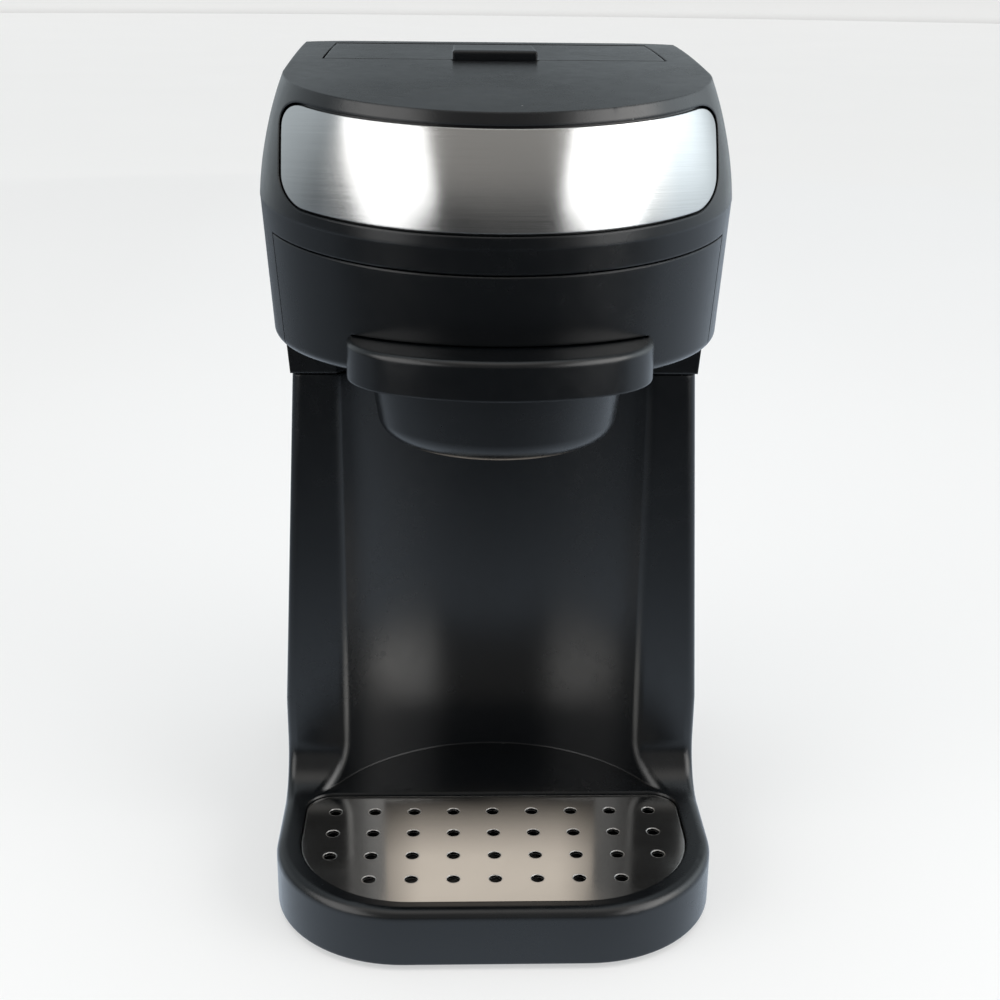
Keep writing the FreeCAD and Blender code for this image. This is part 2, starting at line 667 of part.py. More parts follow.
def make_head():
    outside = head_form("head_outside", 0.0)
    inside = head_form("head_inside", wall)
    skin = cut("head_skin", outside, inside)

    basket_way = size("basket_flange") + slide_gap
    lip_space = block("lip_space", (-basket_way, basket_way),
                      (-WIDE, head_y), (100.0, lip_top + slide_gap))
    cover = common("cover_skin", skin, cover_zone("cover_zone", gap / 2))
    piece("front_cover", cut("front_cover_form", cover, lip_space))

    sheet_metal = shoulder_strip("band_metal", 0.5, size("shoulder_rise"), 89.0,
                                 size("band_thick") + 0.1, 0.1)
    piece("stainless_band", common("stainless_band_form", rounded_strip("band_blank", 0.0), sheet_metal))
    recess = rounded_strip("band_recess", size("band_gap"))

    neck_low = seam_z + gap
    neck_top = size("head_bottom") + wall
    neck_outside = neck_form("neck_outside", 0.0, neck_low, neck_top)
    neck_inside = neck_form("neck_inside", wall, neck_low - 1, neck_top + 1)
    floor_sheet = common("head_floor_sheet", outside,
                         block("floor_slice", (-WIDE, WIDE), (side_seam_y + gap / 2, WIDE),
                               (size("head_bottom"), neck_top)))
    floor_open = cut("head_floor_open", floor_sheet, guide_space("floor_notch"))
    shell = fuse("head_shell", skin, neck_outside, floor_open)
    lid_way = size("lid_half") + size("lid_gap")
    lid_edge = size("lid_front") - size("lid_gap")
    above_tank = (225.0, 260.0)
    lid_space = block("lid_space", (-lid_way, lid_way),
                      (lid_edge, lid_axis_y() + size("lid_barrel") + size("knuckle_gap")), above_tank)
    finger = size("tab_half") + size("knuckle_gap")
    notch_block = block("tab_notch_block", (-finger, finger),
                        (lid_edge - size("tab_reach"), size("lid_front") + 6.0), above_tank)
    notch = rounded("tab_notch", notch_block, 1.5,
                    lambda e: e.BoundBox.ZLength > 30 and e.BoundBox.YMax < size("lid_front").value)
    pin_hole = rod("lid_pin_hole", (lid_axis_y(), lid_axis_z()), (-lid_way - 4.0, lid_way + 4.0),
                   size("lid_pin_radius"), "X")
    housing = cut("head_housing_form", shell, cover_zone("housing_zone", -gap / 2), recess, neck_inside,
                  lid_space, notch, pin_hole)
    piece("head_housing", housing)


def lid_axis_y():
    return size("lid_rear") + size("lid_pin_back")


def lid_axis_z():
    return size("rear_height") - size("lid_barrel") - 0.2


def neck_form(name, inset, low, high):
    """The short neck between the column and the head, with the mug hollow running up it."""
    half_low = size("neck_half_bottom") - inset
    half_high = size("neck_half_top") - inset
    front = prism(name + "_front", "XZ", (pillar_y + inset, rear_y - inset),
                  [(-half_low, low), (half_low, low), (half_high, high), (-half_high, high)])
    corners = rounded(name + "_corners", front, size("rear_corner") - inset, rear_corners(inset))
    mug = rod(name + "_mug", (0, mug_y), (as_size(low) - 5, as_size(high) + 5), size("mug_radius") + inset)
    return cut(name, corners, mug)


def guide_space(name):
    """The U-shaped way in the head's floor that the bowl slides along."""
    half = size("bowl_top_radius") + size("bowl_way_gap")
    ahead = block(name + "_way", (-half, half), (-WIDE, bowl_y), (100.0, 190.0))
    end = rod(name + "_end", (0, bowl_y), (100.0, 190.0), half)
    return fuse(name, ahead, end)


def top_layer(name, depth):
    """The sheet just under the arched top surface."""
    upper = prism(name + "_upper", "YZ", (-WIDE, WIDE), top_outline(0.0, 120.0))
    lower = prism(name + "_lower", "YZ", (-WIDE - 5, WIDE + 5), top_outline(depth, 110.0))
    return cut(name, upper, lower)


def make_water_lid():
    """The fill lid: an arched plate with a grip at the front and a barrel at the back."""
    half = size("lid_half")
    panel = common("lid_panel", top_layer("lid_layer", size("lid_thick")),
                   block("lid_slice", (-half, half), (size("lid_front"), size("lid_rear")), (200.0, 250.0)))
    crown = size("rear_height") + size("tab_lift")
    grip = block("lid_grip", (-size("tab_half"), size("tab_half")),
                 (size("lid_front") - 0.6, size("lid_front") + 30.0), (crown - size("tab_depth"), crown))
    grip_soft = rounded("lid_grip_soft", grip, 0.8, lambda e: near(e.BoundBox.ZMin, crown))
    barrel = rod("lid_barrel_rod", (lid_axis_y(), lid_axis_z()), (-half + 1.0, half - 1.0),
                 size("lid_barrel"), "X")
    web = block("lid_web", (-half + 1.0, half - 1.0), (size("lid_rear") - 3.0, lid_axis_y()),
                (lid_axis_z() - 0.9, lid_axis_z() + 0.9))
    ribs = [block("lid_rib_%d" % i, (x - 0.8, x + 0.8), (size("lid_front") + 8.0, size("lid_rear") - 6.0),
                  (232.0, 236.6)) for i, x in enumerate((-41.0, 41.0))]
    solid = fuse("lid_solid", panel, grip_soft, barrel, web, *ribs)
    bore = rod("lid_bore", (lid_axis_y(), lid_axis_z()), (-WIDE, WIDE),
               size("lid_pin_radius") + size("running_gap"), "X")
    piece("water_lid", cut("water_lid_form", solid, bore))
    reach = size("lid_half") + size("lid_gap") + 3.6
    piece("lid_hinge_pin", rod("lid_pin", (lid_axis_y(), lid_axis_z()), (-reach, reach),
                               size("lid_pin_radius"), "X"))


def lip_outline(inset):
    """Plan of the basket's handle: a bow across the front that runs smoothly into rounder ends."""
    bow, bow_half = size("lip_bow_radius"), size("lip_bow_half")
    slope = bow_half / bow
    level = (1 - slope * slope).root()
    bow_x = bow_half - slope * inset
    bow_y = front_y + bow - level * (bow - inset)
    half = size("lip_half") - inset
    turn = (half - bow_x) / (1 - slope)
    turn_y = bow_y + level * turn
    back = front_y + size("lip_end_reach")
    return [
        arc(half, turn_y, turn, 1), (half, back), (-half, back), (-half, turn_y),
        arc(-bow_x, bow_y, turn, 1), arc(bow_x, bow_y, bow - inset, 1),
    ]


def make_filter_basket():
    """A drawer: the bowed handle, its flange and the tapered bowl in one moulding."""
    low, high = size("head_bottom"), lip_top
    lip = prism("lip_block", "XY", (low, high), lip_outline(0.0))
    way = size("basket_flange")
    # the cover flares a little over the height of the handle
    clear = size("head_bottom_radius") + slide_gap
    flare = size("lip_height") * 0.07
    cover_form = taper("lip_cover_form", (0, head_y), (low - 1.0, high + 1.0), clear, clear + flare)
    cover_face = cut("lip_cover_face", cover_form,
                     block("lip_way", (-way, way), (-WIDE, WIDE), (100.0, 200.0)))
    lip_soft = rounded("lip_soft", lip, 1.6,
                       lambda e: near(e.BoundBox.ZMin, high) and e.BoundBox.YMin < -50)
    lip_hollow = prism("lip_hollow", "XY", (low - 1.0, high - size("lip_wall")),
                       lip_outline(size("lip_wall")))
    bowl_low = size("bowl_bottom")
    top_r = size("bowl_top_radius")
    mouth = top_r + size("bowl_flare")
    bowl = taper("bowl_outside", (0, bowl_y), (bowl_low, high), size("bowl_low_radius"), mouth)
    bowl_soft = rounded("bowl_soft", bowl, size("bowl_round"), lambda e: near(e.BoundBox.ZMax, bowl_low))
    inner = taper("bowl_inside", (0, bowl_y), (bowl_low + wall, high + 1.0),
                  size("bowl_low_radius") - wall, mouth - wall)
    inner_soft = rounded("bowl_inside_soft", inner, size("bowl_round") - wall,
                         lambda e: near(e.BoundBox.ZMax, bowl_low + wall))
    flange_low = size("head_bottom") + wall + slide_gap + 0.2
    flange = fuse("basket_flange_form",
                  block("flange_way", (-way, way), (front_y + 34.0, bowl_y), (flange_low, flange_low + 2.0)),
                  rod("flange_end", (0, bowl_y), (flange_low, flange_low + 2.0), way))
    outlet = rod("basket_outlet_hole", (0, bowl_y), (bowl_low - 5, high), size("basket_outlet"))
    walls = fuse("basket_walls", cut("lip_shell", lip_soft, lip_hollow, cover_face), bowl_soft, flange)
    piece("filter_basket", cut("filter_basket_form", walls, inner_soft, outlet))


def make_filter():
    """The lift-out permanent filter: a fine mesh cup in a moulded frame."""
    rim_z = lip_top - 0.6
    top_r, low_r = size("filter_top_radius"), size("filter_low_radius")
    low = size("bowl_bottom") + wall + 3.0
    thin = size("filter_wall")
    cup = taper("mesh_outside", (0, bowl_y), (low, rim_z - 2.0), low_r, top_r)
    hollow = taper("mesh_inside", (0, bowl_y), (low + thin, rim_z), low_r - thin, top_r - thin + 0.3)
    piece("filter_mesh", cut("filter_mesh_form", cup, hollow))
    ring = cut("frame_ring", rod("frame_disc", (0, bowl_y), (rim_z - 2.0, rim_z), top_r + 1.4),
               rod("frame_hole", (0, bowl_y), (rim_z - 4.0, rim_z + 1.0), top_r - 2.6))
    foot = rod("frame_foot", (0, bowl_y), (low - 1.6, low), low_r + 1.1)
    ribs = []
    rib_half = 1.5
    for i in range(4):
        shape = cut("frame_rib_blank_%d" % i,
                    taper("frame_rib_out_%d" % i, (0, bowl_y), (low - 1.6, rim_z - 2.0),
                          low_r + 1.1, top_r + 1.2),
                    taper("frame_rib_in_%d" % i, (0, bowl_y), (low - 1.6, rim_z - 2.0), low_r, top_r))
        turn = 45.0 * i
        across, along = math.cos(math.radians(turn)), math.sin(math.radians(turn))
        slab = block("frame_rib_slab_%d" % i, (-rib_half, rib_half), (-WIDE, WIDE), (100.0, 200.0))
        put(slab, WIDE * along - rib_half * across, bowl_y - (rib_half * along + WIDE * across), 100.0,
            FreeCAD.Rotation(FreeCAD.Vector(0, 0, 1), turn))
        ribs.append(common("frame_rib_%d" % i, shape, slab))
    handle = block("frame_handle", (-1.0, 1.0), (bowl_y - top_r + 2.0, bowl_y + top_r - 2.0),
                   (rim_z - 2.0, rim_z))
    piece("filter_frame", fuse("filter_frame_form", ring, foot, *ribs, handle))


def make_brewing():
    """Inside the front of the head: basket guide, brew deck and spray head."""
    low = size("head_bottom")
    inner = size("head_bottom_radius") - wall - 0.6
    disc = rod("guide_disc", (0, head_y), (low + 0.2, low + wall), inner)
    front_half = block("guide_half", (-WIDE, WIDE), (-WIDE, side_seam_y - 0.3), (100.0, 200.0))
    guide_sheet = common("guide_sheet", disc, front_half)
    piece("basket_guide", cut("basket_guide_form", guide_sheet, guide_space("guide_way")))

    deck_low = size("brew_deck_height")
    deck_disc = rod("deck_disc", (0, head_y), (deck_low, deck_low + 2.0), inner)
    skirt = cut("deck_skirt",
                rod("deck_skirt_out", (0, head_y), (low + wall + 0.1, deck_low + 1.0), inner),
                rod("deck_skirt_in", (0, head_y), (low, deck_low + 2.0), inner - 2.2))
    way_half = size("lip_half") + 1.0
    way = block("deck_way", (-way_half, way_half), (-WIDE, WIDE), (100.0, deck_low))
    keep = block("deck_keep", (-WIDE, WIDE), (-WIDE, size("tank_front") - 1.5), (100.0, 300.0))
    spray_hole = rod("deck_spray_hole", (0, bowl_y), (100.0, 300.0), 7.0)
    deck_body = fuse("deck_body", deck_disc, cut("deck_skirt_open", skirt, way))
    piece("brew_deck", cut("brew_deck_form", common("deck_front", deck_body, keep), spray_hole))

    spray = size("spray_radius")
    dish = cut("spray_dish", rod("spray_out", (0, bowl_y), (deck_low - 3.0, deck_low - 0.1), spray),
               rod("spray_in", (0, bowl_y), (deck_low - 2.0, deck_low + 1.0), spray - 1.4))
    boss = rod("spray_boss", (0, bowl_y), (deck_low - 2.5, deck_low + 11.0), 6.0)
    inlet = rod("spray_inlet", (0, bowl_y), (deck_low - 2.0, deck_low + 6.0), 2.4)
    port = rod("spray_port", (bowl_y, deck_low + 6.2), (-10.0, 0.0), size("riser_radius") + 0.05, "X")
    jets = []
    for ring, (count, reach) in enumerate(((4, 9.0), (8, 17.0), (12, 23.0))):
        for i in range(count):
            turn = 2 * math.pi * i / count
            jets.append(rod("spray_jet_%d_%d" % (ring, i),
                            (reach * math.cos(turn), bowl_y + reach * math.sin(turn)),
                            (deck_low - 5.0, deck_low - 1.5), 0.9))
    piece("spray_head", cut("spray_head_form", fuse("spray_body", dish, boss), inlet, port, *jets))


def make_tank():
    """The open-topped water tank under the fill lid, with its outlet in the floor."""
    half, front, rear = size("tank_half"), size("tank_front"), size("tank_rear")
    low, high, skin = size("tank_bottom"), size("tank_top"), size("tank_wall")
    box = rounded("tank_outside", block("tank_block", (-half, half), (front, rear), (low, high)), 6.0,
                  lambda e: e.BoundBox.ZLength > 50)
    hollow_block = block("tank_hollow", (-half + skin, half - skin), (front + skin, rear - skin),
                         (low + skin, high + 2))
    hollow = rounded("tank_inside", hollow_block, 4.0, lambda e: e.BoundBox.ZLength > 50)
    rim_block = block("tank_rim_block", (-half - 2.5, half + 2.5), (front - 0.8, rear + 2.0),
                      (high - 2.0, high))
    rim_round = rounded("tank_rim_out", rim_block, 7.0, lambda e: near(e.BoundBox.ZLength, 2.0))
    rim_hole = block("tank_rim_in", (-half + 4, half - 4), (front + 4, rear - 4), (high - 5, high + 5))
    rim = cut("tank_rim", rim_round, rim_hole)
    boss = rod("tank_boss", (0, tank_outlet_y()), (low - 8.0, low + 1.0), 6.5)
    outlet = rod("tank_outlet", (0, tank_outlet_y()), (low - 10.0, low + 5.0), 4.0)
    piece("water_tank", cut("water_tank_form", fuse("tank_body", box, rim, boss), hollow, outlet))
    seal = cut("seal_ring", rod("seal_out", (0, tank_outlet_y()), (low + skin, low + skin + 1.6), 8.0),
               rod("seal_in", (0, tank_outlet_y()), (low, low + 10.0), 3.4))
    piece("outlet_strainer", seal)


def tank_outlet_y():
    return size("tank_front") + 14.0


def route(name, points, outer, bore, bend):
    """A tube along straight runs joined by tangent arcs."""
    spots = [FreeCAD.Vector(*[as_size(c).value for c in p]) for p in points]
    edges = []
    last = spots[0]
    for i in range(1, len(spots) - 1):
        before = (spots[i] - spots[i - 1]).normalize()
        after = (spots[i + 1] - spots[i]).normalize()
        angle = before.getAngle(after)
        back = bend * math.tan(angle / 2)
        start, end = spots[i] - before * back, spots[i] + after * back
        inward = (after - before).normalize()
        middle = spots[i] + inward * (bend / math.cos(angle / 2) - bend)
        edges.append(Part.LineSegment(last, start).toShape())
        edges.append(Part.Arc(start, middle, end).toShape())
        last = end
    edges.append(Part.LineSegment(last, spots[-1]).toShape())
    path = Part.Wire(edges)
    along = (spots[1] - spots[0]).normalize()

    def swept(radius):
        ring = Part.Wire([Part.makeCircle(radius, spots[0], along)])
        return path.makePipeShell([ring], True, False)

    tube = doc.addObject("Part::Feature", name)
    solid = swept(outer)
    tube.Shape = solid.cut(swept(bore)) if bore else solid
    return tube


def make_water_path():
    """Cold water falls through a check valve to the boiler; steam pushes hot water up the riser."""
    y = tank_outlet_y()
    low = size("tank_bottom") - 8.0
    boiler_y, boiler_z, half = size("boiler_y"), size("boiler_z"), size("boiler_half")
    hose, bore = size("hose_radius"), size("hose_bore")
    valve = fuse("valve_body", rod("valve_barrel", (0, y), (low - 22.0, low - 6.0), 5.6),
                 rod("valve_top", (0, y), (low - 6.0, low), 3.9),
                 rod("valve_tail", (0, y), (low - 30.0, low - 22.0), bore - 0.05))
    valve_bore = rod("valve_bore", (0, y), (low - 40.0, low + 10.0), 1.8)
    piece("check_valve", cut("check_valve_form", valve, valve_bore))
    cuff = cut("cuff_ring", rod("cuff_out", (0, y), (low - 6.0, low + 7.0), 6.4 + 2.0),
               rod("cuff_in", (0, y), (low - 10.0, low + 10.0), 6.5))
    piece("tank_seal", cuff)
    piece("cold_hose", route("cold_hose_form", [
        (0, y, low - 22.2), (0, y, 70.0), (-half - 14.0, y + 10.0, 52.0), (-half - 14.0, boiler_y, boiler_z),
        (-half - 1.0, boiler_y, boiler_z)], hose.value, bore.value, 6.0))

    riser_x, riser_y = -size("riser_x"), size("riser_y")
    radius = size("riser_radius")
    spray_z = size("brew_deck_height") + 6.2
    piece("hot_riser", route("hot_riser_form", [
        (half - 3.0, boiler_y, boiler_z + 10.2), (half - 3.0, boiler_y, 58.0), (0.0, y + 18.0, 70.0),
        (riser_x, riser_y, 78.0), (riser_x, riser_y, spray_z), (riser_x, bowl_y, spray_z),
        (-2.4, bowl_y, spray_z)], radius.value, size("riser_bore").value, 7.0))


def make_boiler():
    """Flow-through boiler: a cast block round the water tube, a sheathed element and its controls."""
    y, z, half = size("boiler_y"), size("boiler_z"), size("boiler_half")
    tube = rod("boiler_tube_out", (y, z), (-half - 7.0, half), size("hose_bore") - 0.05, "X")
    outlet = rod("boiler_outlet", (half - 3.0, y), (z, z + 17.0), size("riser_bore") - 0.05)
    water = rod("boiler_water", (y, z), (-half - 20.0, half - 2.0), 2.0, "X")
    up = rod("boiler_water_up", (half - 3.0, y), (z, z + 30.0), 1.4)
    piece("water_tube", cut("water_tube_form", fuse("water_tube_body", tube, outlet), water, up))
    casting = block("boiler_casting", (-half, half), (y - 9.0, y + 21.0), (z - 7.0, z + 7.0))
    block_form = rounded("boiler_block_soft", casting, 2.5, lambda e: e.BoundBox.XLength > 40)
    element_y = y + 13.0
    bed = rod("element_bed", (element_y, z), (-half - 5, half + 5), 3.3, "X")
    tube_bed = rod("tube_bed", (y, z), (-half - 5, half + 5), size("hose_bore") - 0.05, "X")
    outlet_bed = rod("outlet_bed", (half - 3.0, y), (z, z + 20.0), size("riser_bore") - 0.05)
    piece("boiler_block", cut("boiler_block_form", block_form, bed, tube_bed, outlet_bed))
    sheath = rod("element_sheath", (element_y, z), (-half - 4.0, half + 4.0), 3.3, "X")
    pins = [rod("element_pin_%d" % i, (element_y, z), span, 1.2, "X")
            for i, span in enumerate(((-half - 11.0, -half - 3.0), (half + 3.0, half + 11.0)))]
    piece("heating_element", fuse("heating_element_form", sheath, *pins))
    top = z + 7.0
    can = rod("thermostat_can", (-14.0, y + 4.0), (top, top + 6.0), 7.5)
    blades = [block("thermostat_blade_%d" % i, (x - 0.4, x + 0.4), (y + 1.0, y + 7.0),
                    (top + 5.5, top + 12.0)) for i, x in enumerate((-18.0, -10.0))]
    piece("thermostat", fuse("thermostat_form", can, *blades))
    fuse_y = y + 13.0
    piece("thermal_fuse", fuse("thermal_fuse_form",
                               rod("fuse_case", (fuse_y, top + 2.0), (6.0, 18.0), 2.0, "X"),
                               rod("fuse_lead", (fuse_y, top + 2.0), (-1.0, 25.0), 0.5, "X")))
    strap = fuse("strap_form",
                 block("strap_over", (21.0, 27.0), (y - 10.0, y + 22.0), (top, top + 1.2)),
                 block("strap_front", (21.0, 27.0), (y - 10.2, y - 9.0), (floor + wall, top + 1.2)),
                 block("strap_rear", (21.0, 27.0), (y + 21.0, y + 22.2), (floor + wall, top + 1.2)),
                 block("strap_foot", (21.0, 27.0), (y - 18.0, y - 9.0), (floor + wall, floor + wall + 1.2)))
    seat = block("strap_seat", (-30.0, -24.0), (y - 9.0, y + 21.0), (floor + wall, z - 7.0))
    second = block("strap_seat_2", (17.0, 20.5), (y - 9.0, y + 21.0), (floor + wall, z - 7.0))
    fuse_cut = rod("strap_fuse_way", (fuse_y, top + 2.0), (18.0, 30.0), 0.8, "X")
    piece("boiler_bracket", cut("boiler_bracket_form", strap, fuse_cut))
    piece("boiler_seats", fuse("boiler_seats_form", seat, second))


def switch_wall_x(z):
    """How far out the leaning side of the base is at a height."""
    knee = deck + size("column_knee")
    lean = (size("base_half_rear") - size("column_half_top")) / (seam_z - knee)
    return size("base_half_rear") - lean * (z - knee)


def make_switch():
    """Rocker switch in the column's right side: a bezel, and the rocker on its pivot."""
    y, z = size("switch_y"), size("switch_z")
    half_wide, half_long = size("switch_half_wide"), size("switch_half_long")
    face = switch_wall_x(z + half_long)
    flange = block("bezel_flange", (face - 1.0, face + 1.6), (y - half_wide - 1.6, y + half_wide + 1.6),
                   (z - half_long - 1.6, z + half_long + 1.6))
    flange_soft = rounded("bezel_flange_soft", flange, 1.0, lambda e: near(e.BoundBox.XMin, face + 1.6)
                          or near(e.BoundBox.XLength, 2.6))
    tray = block("bezel_tray", (face - 14.0, face + 1.3), (y - half_wide + 0.2, y + half_wide - 0.2),
                 (z - half_long + 0.2, z + half_long - 0.2))
    room = block("bezel_room", (face - 12.0, face + 5.0), (y - half_wide + 1.4, y + half_wide - 1.4),
                 (z - half_long + 1.4, z + half_long - 1.4))
    wall_cut = prism("bezel_wall", "XZ", (y - 30.0, y + 30.0), [
        (switch_wall_x(40.0) - 60.0, 40.0), (switch_wall_x(40.0) + 0.02, 40.0),
        (switch_wall_x(90.0) + 0.02, 90.0), (switch_wall_x(90.0) - 60.0, 90.0)])
    ring = cut("bezel_ring", flange_soft, wall_cut)
    pin = rod("bezel_pin", (face - 3.0, z), (y - half_wide + 0.6, y + half_wide - 0.6), 1.0, "Y")
    terminals = [block("bezel_terminal_%d" % i, (face - 21.0, face - 13.0), (y - 2.4, y + 2.4),
                       (level - 0.4, level + 0.4)) for i, level in enumerate((z - 5.5, z + 5.5))]
    hollow = cut("switch_hollow", fuse("bezel_body", ring, tray), room)
    piece("switch_body", fuse("switch_body_form", hollow, pin, *terminals))
    pivot_x = face - 3.0
    reach = half_long - 2.0
    rocker = prism("rocker_form", "XZ", (y - half_wide + 1.8, y + half_wide - 1.8), [
        (pivot_x - 3.0, z - 4.0), (pivot_x + 2.6, z - reach), (pivot_x + 5.3, z - reach + 0.6),
        (pivot_x + 3.7, z), (pivot_x + 4.2, z + reach - 0.2), (pivot_x + 1.2, z + reach - 0.4),
        (pivot_x - 3.0, z + 4.0)])
    bore = rod("rocker_bore", (pivot_x, z), (y - 20.0, y + 20.0), 1.0 + size("running_gap"), "Y")
    piece("switch_rocker", cut("rocker_open", rocker, bore))


make_base_shell()
make_base_plate()
make_feet_and_screws()
make_rear_cover()
make_gland()
make_drip_plate()
make_head()
make_water_lid()
make_filter_basket()
make_filter()
make_brewing()
make_tank()
make_water_path()
make_boiler()
make_switch()
doc.recompute()
failed = [thing.Name for thing in doc.Objects if "Invalid" in thing.State or "Error" in thing.State]
if failed:
    raise RuntimeError("features that failed: " + ", ".join(failed))
for thing in pieces:
    if thing.Shape.isNull() or not thing.Shape.isValid():
        raise RuntimeError("no valid shape for " + thing.Label)

os.makedirs("parts", exist_ok=True)
for thing in pieces:
    thing.Shape.exportStep("parts/%s.step" % thing.Label)
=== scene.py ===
import math

import bmesh
import bpy
from mathutils import Matrix, Vector

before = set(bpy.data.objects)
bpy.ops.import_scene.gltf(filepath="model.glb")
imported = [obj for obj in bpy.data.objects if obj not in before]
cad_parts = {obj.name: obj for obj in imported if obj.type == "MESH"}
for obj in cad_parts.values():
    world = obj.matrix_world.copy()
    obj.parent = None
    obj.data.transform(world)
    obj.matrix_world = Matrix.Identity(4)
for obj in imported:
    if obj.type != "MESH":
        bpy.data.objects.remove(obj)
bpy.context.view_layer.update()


# Studio sweep. A seamless pale card floor that the machine stands on, rising in a wide cove into
# a low wall all the way round, as in a light tent. It is set up apart from the machine.
def finish(name, colour, gloss, **more):
    """A new finish of one colour and gloss, with any other shader settings filled in."""
    made = bpy.data.materials.new(name)
    made.use_nodes = True
    shader = made.node_tree.nodes["Principled BSDF"]
    shader.inputs["Base Color"].default_value = (*colour, 1)
    shader.inputs["Roughness"].default_value = gloss
    for socket, value in more.items():
        shader.inputs[socket.replace("_", " ")].default_value = value
    return made


def step(made, kind, inputs=(), **settings):
    """One more node in a finish. An input is a plain value, or an output that feeds it."""
    added = made.node_tree.nodes.new("ShaderNode" + kind)
    for key, value in settings.items():
        setattr(added, key, value)
    for socket, value in dict(inputs).items():
        if isinstance(value, bpy.types.NodeSocket):
            made.node_tree.links.new(value, added.inputs[socket])
        else:
            added.inputs[socket].default_value = value
    return added


def place(made):
    """Where a point is on the part, in metres."""
    return step(made, "TexCoord").outputs["Object"]


def spread(made, value, low, high, to_low=0.0, to_high=1.0):
    """Takes a value from one range to another, held at the ends."""
    return step(made, "MapRange", {"Value": value, "From Min": low, "From Max": high,
                                   "To Min": to_low, "To Max": to_high}).outputs[0]


def cloud(made, where, size, detail=2.0, rough=0.5):
    """Soft random unevenness whose patches are about that size in metres."""
    return step(made, "TexNoise", {"Vector": where, "Scale": 1 / size, "Detail": detail,
                                   "Roughness": rough}).outputs["Fac"]


def sums(made, kind, *values):
    """Arithmetic on outputs and numbers."""
    return step(made, "Math", dict(enumerate(values)), operation=kind).outputs[0]


def between(made, amount, low, high):
    """A colour between two colours."""
    low, high = ((*c, 1) if isinstance(c, tuple) and len(c) == 3 else c for c in (low, high))
    return step(made, "Mix", {0: amount, 6: low, 7: high}, data_type="RGBA").outputs[2]


def feed(made, **outputs):
    """Joins outputs to the finish's shader."""
    shader = made.node_tree.nodes["Principled BSDF"]
    for socket, output in outputs.items():
        made.node_tree.links.new(output, shader.inputs[socket.replace("_", " ")])


def turned(profile, steps):
    """A surface turned round the upright axis from a profile of (radius, height) points."""
    mesh = bmesh.new()
    rings = [[mesh.verts.new((radius * math.cos(2 * math.pi * k / steps),
                              radius * math.sin(2 * math.pi * k / steps), height))
              for k in range(steps)] for radius, height in profile]
    for lower, upper in zip(rings, rings[1:]):
        for k in range(steps):
            mesh.faces.new((lower[k - 1], lower[k], upper[k], upper[k - 1]))
    for face in mesh.faces:
        face.smooth = True
    return mesh, rings


def shown(name, mesh, made):
    """Puts a finished mesh in the scene with its material."""
    data = bpy.data.meshes.new(name)
    mesh.to_mesh(data)
    mesh.free()
    piece = bpy.data.objects.new(name, data)
    bpy.context.scene.collection.objects.link(piece)
    piece.data.materials.append(made)
    return piece


card = finish("pale_card", (0.42, 0.42, 0.418), 0.8, Emission_Color=(1, 1, 0.995, 1),
              Emission_Strength=0.43)
card_tone = cloud(card, place(card), 0.4)
feed(card, Base_Color=between(card, card_tone, (0.41, 0.41, 0.408), (0.43, 0.43, 0.428)))
floor_radius = 8.0
cove_radius = 3.0
wall_height = 7.0
cove_steps = 12
cove_turns = [math.pi / 2 * k / cove_steps for k in range(cove_steps + 1)]
card_profile = [(floor_radius + cove_radius * math.sin(turn), cove_radius * (1 - math.cos(turn)))
                for turn in cove_turns]
card_profile.append((floor_radius + cove_radius, wall_height))
sweep_mesh, sweep_rings = turned(card_profile, 96)
sweep_mesh.faces.new(sweep_rings[0])
sweep = shown("studio_sweep", sweep_mesh, card)


# Base. One black ABS moulding: the deck, the well under the drip plate and the two pillars, with
# the hollow for the mug between them. The tool is spark eroded, so the skin is a fine satin grain.
def dress(made, *names):
    """Puts a finish on designed parts."""
    for name in names:
        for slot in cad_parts[name].material_slots:
            slot.material = made


def edges(made, radius):
    """Softly rounded edges: their direction, and how far each point is round one, 0 to 1."""
    rounded = step(made, "Bevel", {"Radius": radius}, samples=4).outputs["Normal"]
    facing = step(made, "NewGeometry").outputs["Normal"]
    turn = step(made, "VectorMath", {0: rounded, 1: facing}, operation="DOT_PRODUCT").outputs["Value"]
    return rounded, spread(made, turn, 0.999, 0.93)


def specks(made, where, cell, size, share):
    """Scattered dust: 1 in a speck and 0 elsewhere."""
    cells = step(made, "TexVoronoi", {"Vector": where, "Scale": 1 / cell})
    pick = step(made, "SeparateColor", {"Color": cells.outputs["Color"]}).outputs
    chosen = sums(made, "LESS_THAN", pick["Red"], share)
    reach = sums(made, "MULTIPLY", pick["Green"], size / cell)
    inside = sums(made, "LESS_THAN", cells.outputs["Distance"], reach)
    return sums(made, "MULTIPLY", chosen, inside)


